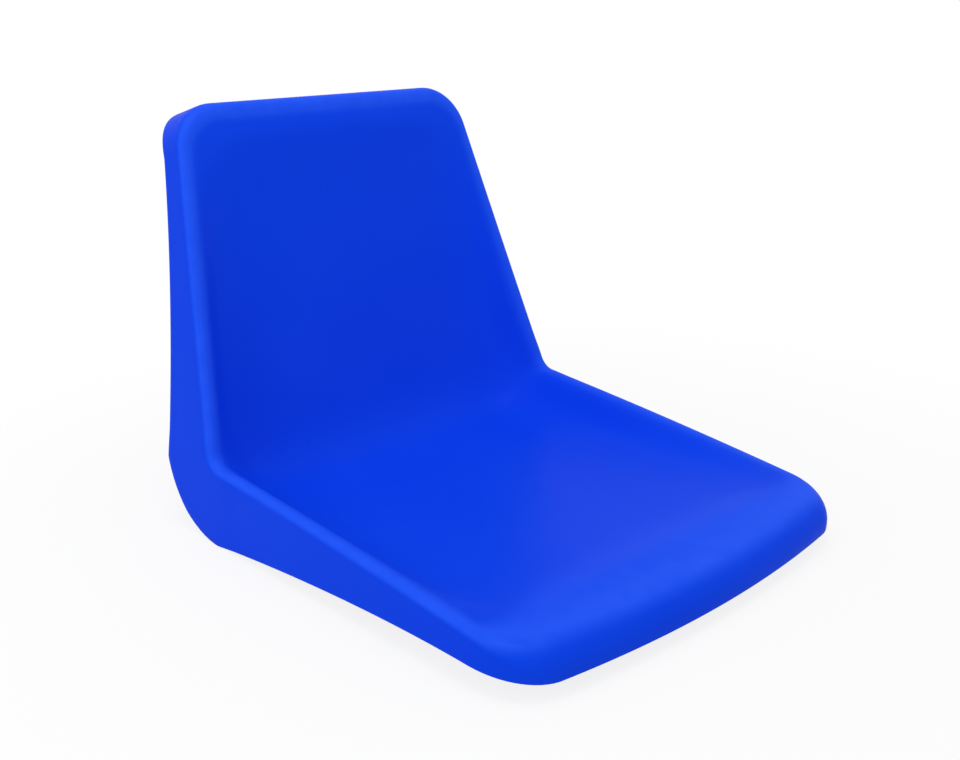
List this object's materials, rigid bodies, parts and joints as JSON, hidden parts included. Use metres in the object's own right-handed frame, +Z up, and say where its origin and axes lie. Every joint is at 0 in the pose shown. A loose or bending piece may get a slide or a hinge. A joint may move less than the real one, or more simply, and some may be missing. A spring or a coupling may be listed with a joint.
{
  "type": "stadium seat",
  "caption": "One-piece moulded plastic stadium seat with a dished pan and back, a rolled rim, turned-back side skirts and threaded inserts in bosses under the pan.",
  "frame": {"origin": "middle of the four-bolt pattern, on the plane of the bosses' lower faces", "axes": "+Z up, +Y to the rear, +X to the sitter's left"},
  "size_m": [0.4334, 0.5362, 0.372],
  "materials": {
    "shell_plastic": "satin, fine moulded grain",
    "insert_brass": "turned"
  },
  "bodies": {
    "root": {"seat_shell": "shell_plastic", "threaded_insert_front_left": "insert_brass", "threaded_insert_front_right": "insert_brass", "threaded_insert_rear_left": "insert_brass", "threaded_insert_rear_right": "insert_brass"}
  },
  "joints": []
}
